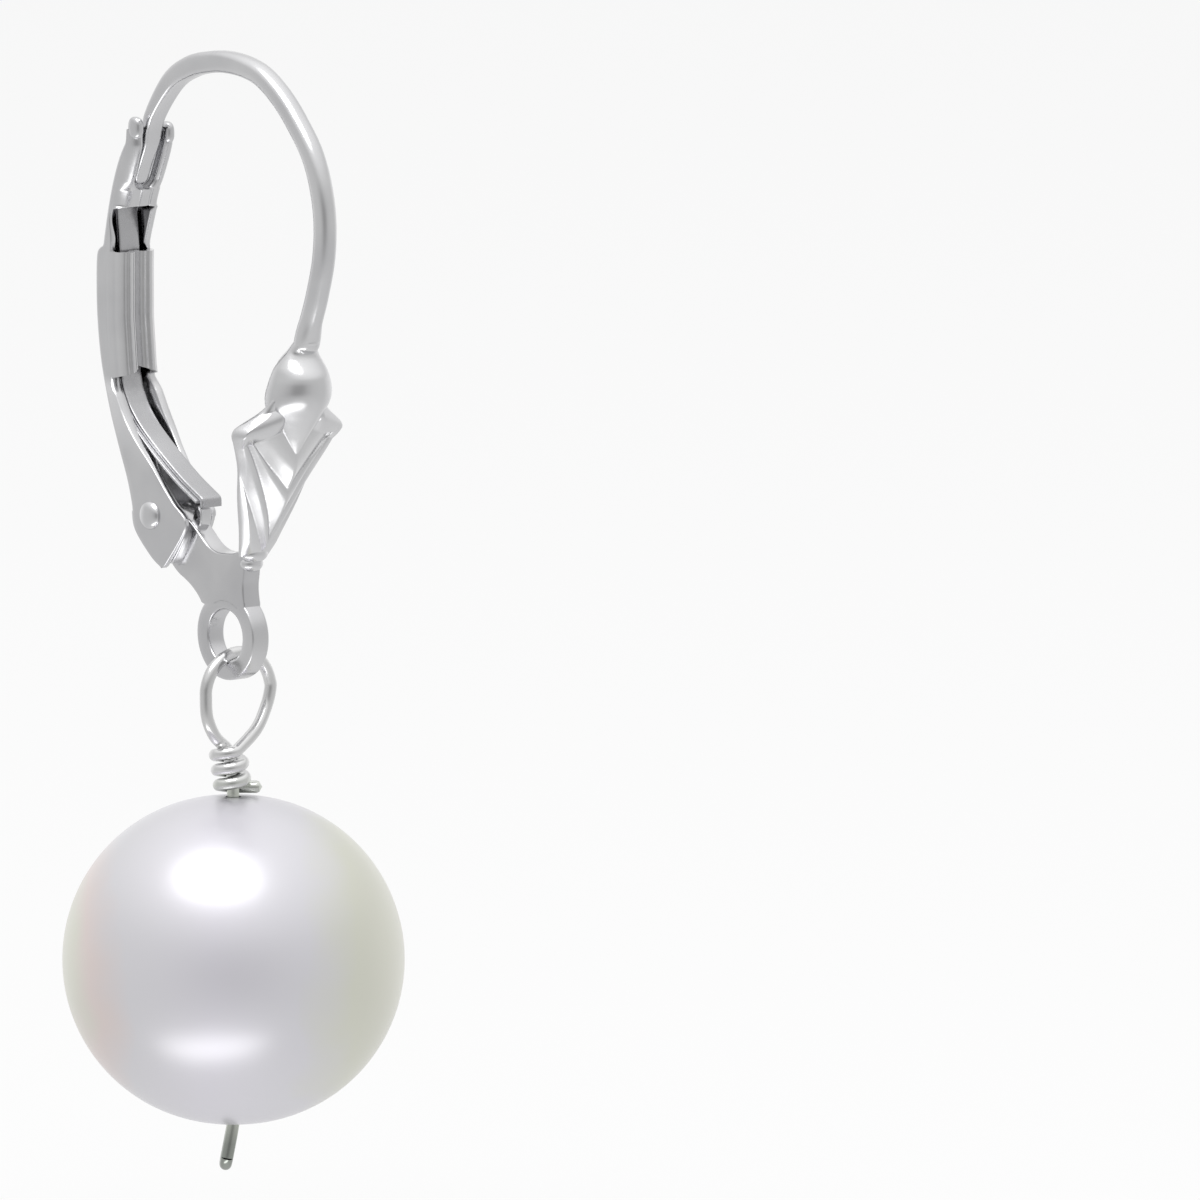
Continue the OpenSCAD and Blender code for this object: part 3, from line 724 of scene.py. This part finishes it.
# %% Loop on the ring
# the loop stands a little to the far side and is wider than high, as it was bent by hand
loop_x, loop_wide = 0.19, 1.05
loop_c = loop_top - loop_r
a = np.radians(np.arange(180, -1, -15))
loop = np.vstack([
    [0, 0, pearl_z], [0, 0, pearl_top],
    -0.08 * photo_right + [0, 0, wrap_top - wrap_pitch], -0.16 * photo_right + [0, 0.02, wrap_top],
    [-0.57 * loop_r, 0.03, wrap_top + 0.155 * loop_h],
    [-0.84 * loop_r, 0, wrap_top + 0.36 * loop_h],
    np.stack([loop_x + loop_wide * loop_r * np.cos(a), 0 * a, loop_c + loop_r * np.sin(a)], -1),
    [loop_x + 0.90 * loop_r, 0, wrap_top + 0.40 * loop_h],
    [loop_x + 0.46 * loop_r, -0.4 * wrap_r, wrap_top + 0.19 * loop_h]])
print("loop", round(float(np.ptp(loop[:, 0])), 2), "mm wide")

# %% Wraps and cut tail
degrees = np.arange(0, wrap_angle + 1, 10)
a = np.radians(degrees)
wraps = np.stack([-wrap_r * np.sin(a), -wrap_r * np.cos(a),
                  wrap_top - wrap_pitch * degrees / 360], -1)
wraps = wraps + photo_right * (-0.16 + 0.15 * degrees / wrap_angle)[:, None]
heading = np.array([-math.cos(a[-1]), math.sin(a[-1]), 0])
tail = wraps[-1] + np.linspace(0.1, 1, 10)[:, None] * tail_l * heading
route = np.vstack([smooth(eye, 6), smooth(np.vstack([loop, wraps[:1]]), 8), wraps[1:], tail])
moved = np.linalg.norm(np.diff(route, axis=0), axis=1) > 1e-4
route = route[np.concatenate([[True], moved])]
length = path_length(route)
drop_wire = piece("drop_loop", skin(tube(route, r * rounded(length[-1] - length, r, 0.0004), 18)))

# %% [markdown]
# ## The pearl
# Nearly round, a little flat at its poles, drilled from top to foot. A sphere has no hole, so a
# profile with the bore in it is turned about the wire. The hole in the top is narrower than the
# bore, so it sits close round the wire.

# %% Pearl
turn_r = pearl_h / 2
inset = pearl_d / 2 - turn_r
top_hole = 0.23
lat = np.linspace(math.asin((top_hole - inset) / turn_r),
                  math.pi - math.asin((drill_d / 2 - inset + 0.03) / turn_r), 140)
outside = np.stack([inset + turn_r * np.sin(lat), turn_r * np.cos(lat)], -1)
bore = [[drill_d / 2, outside[-1, 1]], [drill_d / 2, 0], [top_hole, outside[0, 1]]]
pearl_rings = revolve(np.vstack([outside, bore, outside[:1]]), 160) + [0, 0, pearl_z]
pearl = piece("pearl_ball", skin(pearl_rings, caps=False))

# %% [markdown]
# ## Silver
# Jeweller's silver is nearly white, and what the eye sees on it is mostly the room. A plain shiny
# shader would look like plastic foil, so the tone is slightly cloudy, the polish varies in fine
# patches, and a shallow ripple bends the mirror image. Real polishing marks are far finer than a
# render shows, so they are drawn as coarse as grain_mm.

# %% Material helpers


def linear(hex_colour):
    """sRGB hex to linear: c / 12.92 below 0.04045, else ((c + 0.055) / 1.055) ^ 2.4."""
    c = np.array([int(hex_colour[i:i + 2], 16) for i in (1, 3, 5)]) / 255
    c = np.where(c <= 0.04045, c / 12.92, ((c + 0.055) / 1.055) ** 2.4)
    return (*c, 1)


def add(tree, kind, inputs=None, stops=(), **settings):
    """One node with its settings. The inputs map a socket's name or number to a value or a link,
    and stops are the places on a colour ramp, each with a hex colour or a grey value."""
    node = tree.nodes.new(kind)
    for key, value in settings.items():
        setattr(node, key, value)
    for key, value in (inputs or {}).items():
        if isinstance(value, bpy.types.NodeSocket):
            tree.links.new(value, node.inputs[key])
        else:
            node.inputs[key].default_value = value
    for _ in stops[2:]:
        node.color_ramp.elements.new(0.5)
    for mark, (at, tone) in zip(node.color_ramp.elements if stops else (), stops):
        mark.position = at
        mark.color = linear(tone) if isinstance(tone, str) else (tone, tone, tone, 1)
    return node


# %% Silver


def silver(name, light, dark, rough, grain_mm, depth_mm, tint=None):
    """Polished metal: a cloudy tone, roughness in fine patches, and a shallow ripple. The painted
    shade stored in the mesh darkens it towards a dark grey in hollows and recesses where shade
    falls."""
    mat = bpy.data.materials.new(name)
    mat.use_nodes = True
    tree = mat.node_tree
    shader = tree.nodes["Principled BSDF"]
    place = add(tree, "ShaderNodeTexCoord").outputs["Object"]
    cloud = add(tree, "ShaderNodeTexNoise", {"Vector": place, "Scale": 1 / (2.5 * MM),
                                             "Detail": 3.0})
    tone = add(tree, "ShaderNodeValToRGB", {0: cloud.outputs["Fac"]}, [(0.3, dark), (0.7, light)])
    grain = add(tree, "ShaderNodeTexNoise", {"Vector": place, "Scale": 1 / (grain_mm * MM),
                                             "Detail": 4.0}).outputs["Fac"]
    rub = add(tree, "ShaderNodeMapRange", {"Value": grain, "From Min": 0.3, "From Max": 0.7,
                                           "To Min": rough * 0.8, "To Max": rough * 1.25})
    bump = add(tree, "ShaderNodeBump", {"Height": grain, "Strength": 0.2,
                                        "Distance": depth_mm * MM})
    # painted shade: each point's share mixes the cloudy tone towards the dark grey #77757a
    painted_shade_share = add(tree, "ShaderNodeAttribute", attribute_name="painted_shade").outputs["Fac"]
    colour = add(tree, "ShaderNodeMix", {0: painted_shade_share, 6: tone.outputs["Color"], 7: linear("#77757a")},
                 data_type="RGBA").outputs[2]
    if tint:
        colour = tint(tree, place, colour)
    tree.links.new(colour, shader.inputs["Base Color"])
    tree.links.new(rub.outputs["Result"], shader.inputs["Roughness"])
    tree.links.new(bump.outputs["Normal"], shader.inputs["Normal"])
    shader.inputs["Metallic"].default_value = 1.0
    print("made", name)
    return mat


def pearl_reflection_and_shade(tree, place, colour):
    """Painted light from the pearl: a greenish grey painted reflection of the pearl grows over the
    last turn, and a darker painted shade in the eye under it.
    """
    z = add(tree, "ShaderNodeSeparateXYZ", {0: place}).outputs["Z"]
    # a painted reflection of the pearl over the last turn, and a painted shade in the eye under the
    # pearl
    for start, end, tint in ((pearl_top + 0.75, pearl_top + 0.1, "#d3d7cd"),
                             (pearl_foot + 0.2, pearl_foot - 0.6, "#a6aaa4")):
        share = add(tree, "ShaderNodeMapRange", {"Value": z, "From Min": start * MM,
                                                 "From Max": end * MM}).outputs["Result"]
        colour = add(tree, "ShaderNodeMix", {0: share, 6: colour, 7: linear(tint)},
                     data_type="RGBA").outputs[2]
    return colour


# Cast metal with a soft polish: the room shows in it as broad, slightly blurred bands
cast_silver = silver("polished_cast_sterling_silver", "#e9e9ea", "#dadadc", 0.20, 0.5, 0.012)
# Stamped sheet, a touch greyer, so the lever reads as another piece of metal than the wire
sheet_silver = silver("stamped_sterling_silver_sheet", "#e6e6e7", "#d6d6d8", 0.20, 0.3, 0.012)
# Rolled hard strip, grey and satin, so the spring stays even in tone in the lever's shade
spring_silver = silver("rolled_silver_spring_strip", "#cbcbcd", "#bebec0", 0.28, 0.15, 0.01)
# Drawn wire, the brightest and smoothest: thin light lines run along it
drawn_silver = silver("drawn_sterling_silver_wire", "#ececec", "#dedede", 0.16, 0.3, 0.008,
                      pearl_reflection_and_shade)

# %% [markdown]
# ## Nacre
# A pearl is built of thousands of clear layers, so light comes back from under its skin. Layers
# could be simulated, but a half metallic body under a thin coat gives the same deep glow and one
# soft highlight, and a ramp across the pearl paints the faint play of colour: a lilac white tone
# with rosy and greenish ends, a painted sheen fixed on the pearl.

# %% Nacre


def nacre(name):
    """Pearl nacre, lilac white, with a painted sheen: the play of colour is painted as a tone that
    turns rosy and then greenish round the pearl, a ramp over the place along photo_right, in pearl
    widths, made wavy by noise."""
    mat = bpy.data.materials.new(name)
    mat.use_nodes = True
    tree = mat.node_tree
    shader = tree.nodes["Principled BSDF"]
    place = add(tree, "ShaderNodeTexCoord").outputs["Object"]
    cloud = add(tree, "ShaderNodeTexNoise", {"Vector": place, "Scale": 1 / (3.5 * MM),
                                             "Detail": 2.0}).outputs["Fac"]
    across = add(tree, "ShaderNodeVectorMath", {0: place, 1: tuple(photo_right / (pearl_d * MM))},
                 operation="DOT_PRODUCT").outputs["Value"]
    wavy = add(tree, "ShaderNodeMath", {0: cloud, 1: 0.22, 2: across}, operation="MULTIPLY_ADD")
    shifted = add(tree, "ShaderNodeMath", {0: wavy.outputs["Value"], 1: 0.39}, operation="ADD")
    # painted sheen: the ramp's rosy and greenish ends stand for the orient seen at the pearl's
    # edges
    tone = add(tree, "ShaderNodeValToRGB", {0: shifted.outputs["Value"]}, [
        (0.02, "#d8d8cc"), (0.09, "#dfd3d0"), (0.20, "#d9d8dc"), (0.45, "#dbd9e0"),
        (0.70, "#dad9de"), (0.83, "#d9dacd"), (0.97, "#d8d8cc")])
    grain = add(tree, "ShaderNodeTexNoise", {"Vector": place, "Scale": 1 / (0.6 * MM),
                                             "Detail": 3.0}).outputs["Fac"]
    bump = add(tree, "ShaderNodeBump", {"Height": grain, "Strength": 0.08, "Distance": 0.03 * MM})
    tree.links.new(tone.outputs["Color"], shader.inputs["Base Color"])
    tree.links.new(bump.outputs["Normal"], shader.inputs["Normal"])
    for key, value in {"Roughness": 0.33, "Metallic": 0.45, "Coat Weight": 0.45,
                       "Coat Roughness": 0.26}.items():
        shader.inputs[key].default_value = value
    print("made", name)
    return mat


# Cultured nacre, buffed: it glows from within and blurs the lamp to one soft spot
pearl_nacre = nacre("white_cultured_pearl_nacre")

# %% [markdown]
# ## Dressing the bodies
# Each piece rides on the body that it belongs to and takes the place of a CAD node in the picture.
# The CAD nodes get the same finishes, and nothing else about them changes.

# %% Dress, ride and replace
dressing = [
    (ear_wire, "hook", "ear_hook", "polished_silver", cast_silver),
    (shield, "hook", "ear_hook", "polished_silver", cast_silver),
    (base_plate, "hook", "ear_hook", "polished_silver", cast_silver),
    (lever, "lever", "lever", "lever_silver", sheet_silver),
    (leaf, "lever", "spring_leaf", "spring_silver", spring_silver),
    (rivet, "lever", "hinge_rivet", "rivet_silver", cast_silver),
    (drop_wire, "drop", "drop_wire", "drawn_silver_wire", drawn_silver),
    (pearl, "pearl", "pearl", "white_pearl", pearl_nacre),
]
cad_finish = {node: finish for _, _, node, _, finish in dressing}
for node, finish in cad_finish.items():
    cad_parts[node].data.materials.clear()
    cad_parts[node].data.materials.append(finish)
for made, body, node, slot, finish in dressing:
    made.data.materials.append(finish)
    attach(made, body)
    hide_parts(node)
print("dressed", len(dressing), "pieces over", len(cad_finish), "CAD nodes")

# %% [markdown]
# ## Stage
# A pale floor a little below the drop. The metal doesn't mirror it, so it stays a plain ground.

# %% Floor
floor_gap = 3.0
floor_z = (pearl_foot - eye_l - floor_gap) * MM
bpy.ops.mesh.primitive_plane_add(size=6.0, location=(0, 0, floor_z))
floor = bpy.context.object
floor.name = "floor"
paper = bpy.data.materials.new("pale_paper")
paper.use_nodes = True
for key, value in {"Base Color": (0.25, 0.25, 0.25, 1), "Roughness": 1.0,
                   "Specular IOR Level": 0.0, "Emission Color": (1, 1, 1, 1),
                   "Emission Strength": 0.68}.items():
    paper.node_tree.nodes["Principled BSDF"].inputs[key].default_value = value
floor.data.materials.append(paper)
floor.visible_glossy = False
print("floor at", round(floor_z / MM, 2), "mm")

# %% [markdown]
# ## Light
# A polished thing shows its room, so the world is a light tent of soft grey bands: bright above,
# dimmer towards the eye, and with one bright patch low at the side for the rims to catch.

# %% Light tent
world = bpy.data.worlds.new("studio")
bpy.context.scene.world = world
world.use_nodes = True
wt = world.node_tree
wt.nodes.clear()
direction = add(wt, "ShaderNodeTexCoord").outputs["Generated"]
# how high a direction points, and how much towards the camera and to the bright side, all as dot
# products, the first two brought to 0..1
height, turned, aside = (add(wt, "ShaderNodeVectorMath", {0: direction, 1: towards},
                             operation="DOT_PRODUCT").outputs["Value"]
                         for towards in ((0, 0, 1), tuple(photo_front), (-0.87, -0.49, 0)))
height, turned = (add(wt, "ShaderNodeMapRange", {"Value": value, "From Min": -1.0,
                                                 "From Max": 1.0}).outputs["Result"]
                  for value in (height, turned))
# grey values of the room by height, and round the horizon
high_low, horizon, not_level, low_band, at_side = (
    add(wt, "ShaderNodeValToRGB", {0: factor}, stops).outputs["Color"] for factor, stops in (
        (height, [(0.0, 0.80), (0.10, 0.72), (0.30, 0.66), (0.60, 0.60), (0.80, 0.85), (1.0, 1.1)]),
        (turned, [(0.0, 0.95), (0.2, 0.80), (0.4, 0.62), (0.55, 0.62), (0.8, 0.58), (0.925, 0.50),
                  (1.0, 0.34)]),
        (height, [(0.22, 1.0), (0.42, 0.0), (0.56, 0.0), (0.76, 1.0)]),
        (height, [(0.03, 0.0), (0.07, 1.0), (0.11, 1.0), (0.16, 0.0)]),
        (aside, [(0.36, 0.0), (0.47, 1.0)])))
room = add(wt, "ShaderNodeMix", {0: not_level, 6: horizon, 7: high_low},
           data_type="RGBA").outputs[2]
patch = add(wt, "ShaderNodeVectorMath", {0: low_band, 1: at_side}, operation="MULTIPLY")
patch = add(wt, "ShaderNodeVectorMath", {0: patch.outputs["Vector"], 1: (2.0, 2.0, 2.0)},
            operation="MULTIPLY")
lit = add(wt, "ShaderNodeVectorMath", {0: room, 1: patch.outputs["Vector"]}, operation="ADD")
tent = add(wt, "ShaderNodeBackground", {"Color": lit.outputs["Vector"], "Strength": 1.0})
# the camera itself sees a plain pale backdrop
pale = add(wt, "ShaderNodeBackground", {"Color": (0.947, 0.947, 0.947, 1), "Strength": 1.0})
seen = add(wt, "ShaderNodeLightPath").outputs["Is Camera Ray"]
both = add(wt, "ShaderNodeMixShader", {0: seen, 1: tent.outputs[0], 2: pale.outputs[0]})
add(wt, "ShaderNodeOutputWorld", {"Surface": both.outputs[0]})
print("the light tent has", len(wt.nodes), "nodes")

# %% Softbox


def lamp(name, place, size, power_w, aim):
    """An oval area lamp at a place, turned to its aim; lengths in mm."""
    data = bpy.data.lights.new(name, "AREA")
    data.shape, data.size, data.size_y = "ELLIPSE", size[0] * MM, size[1] * MM
    data.energy = power_w
    made = bpy.data.objects.new(name, data)
    bpy.context.scene.collection.objects.link(made)
    made.location = np.array(place) * MM
    made.rotation_mode = "QUATERNION"
    made.rotation_quaternion = Vector(np.array(aim) - np.array(place)).to_track_quat("-Z", "Y")
    print(name, "gives", power_w, "W")


lamp("key_softbox", [-150, -70, 380], (400, 290), 0.8, [0, 0, -15])

# %% [markdown]
# ## Camera
# It stands 40 degrees to the side and 8 degrees up, as in the photo, and a metre away with a long
# lens. Its aim lies to the right of the earring, which puts it where the photo's frame has it.

# %% Camera
azimuth, elevation = math.radians(-40), math.radians(8)
photo_width, photo_scale = 1200, 34.3    # pixels, and pixels to a millimetre
distance, sensor = 1000.0, 36
back_to = np.array([math.sin(azimuth) * math.cos(elevation),
                    -math.cos(azimuth) * math.cos(elevation), math.sin(elevation)])
right = np.array([math.cos(azimuth), math.sin(azimuth), 0])
aim = 10.70 * right + [0, 0, -15.52]
camera_data = bpy.data.cameras.new("camera")
camera_data.sensor_width = sensor
camera_data.lens = sensor * distance / (photo_width / photo_scale)
camera_data.clip_start, camera_data.clip_end = 0.01, 20
camera = bpy.data.objects.new("camera", camera_data)
bpy.context.scene.collection.objects.link(camera)
camera.location = (aim + back_to * distance) * MM
camera.rotation_mode = "QUATERNION"
camera.rotation_quaternion = Vector(-back_to).to_track_quat("-Z", "Y")
bpy.context.scene.camera = camera
bpy.context.scene.view_settings.view_transform = "Standard"
print("lens in mm:", round(camera_data.lens, 1))
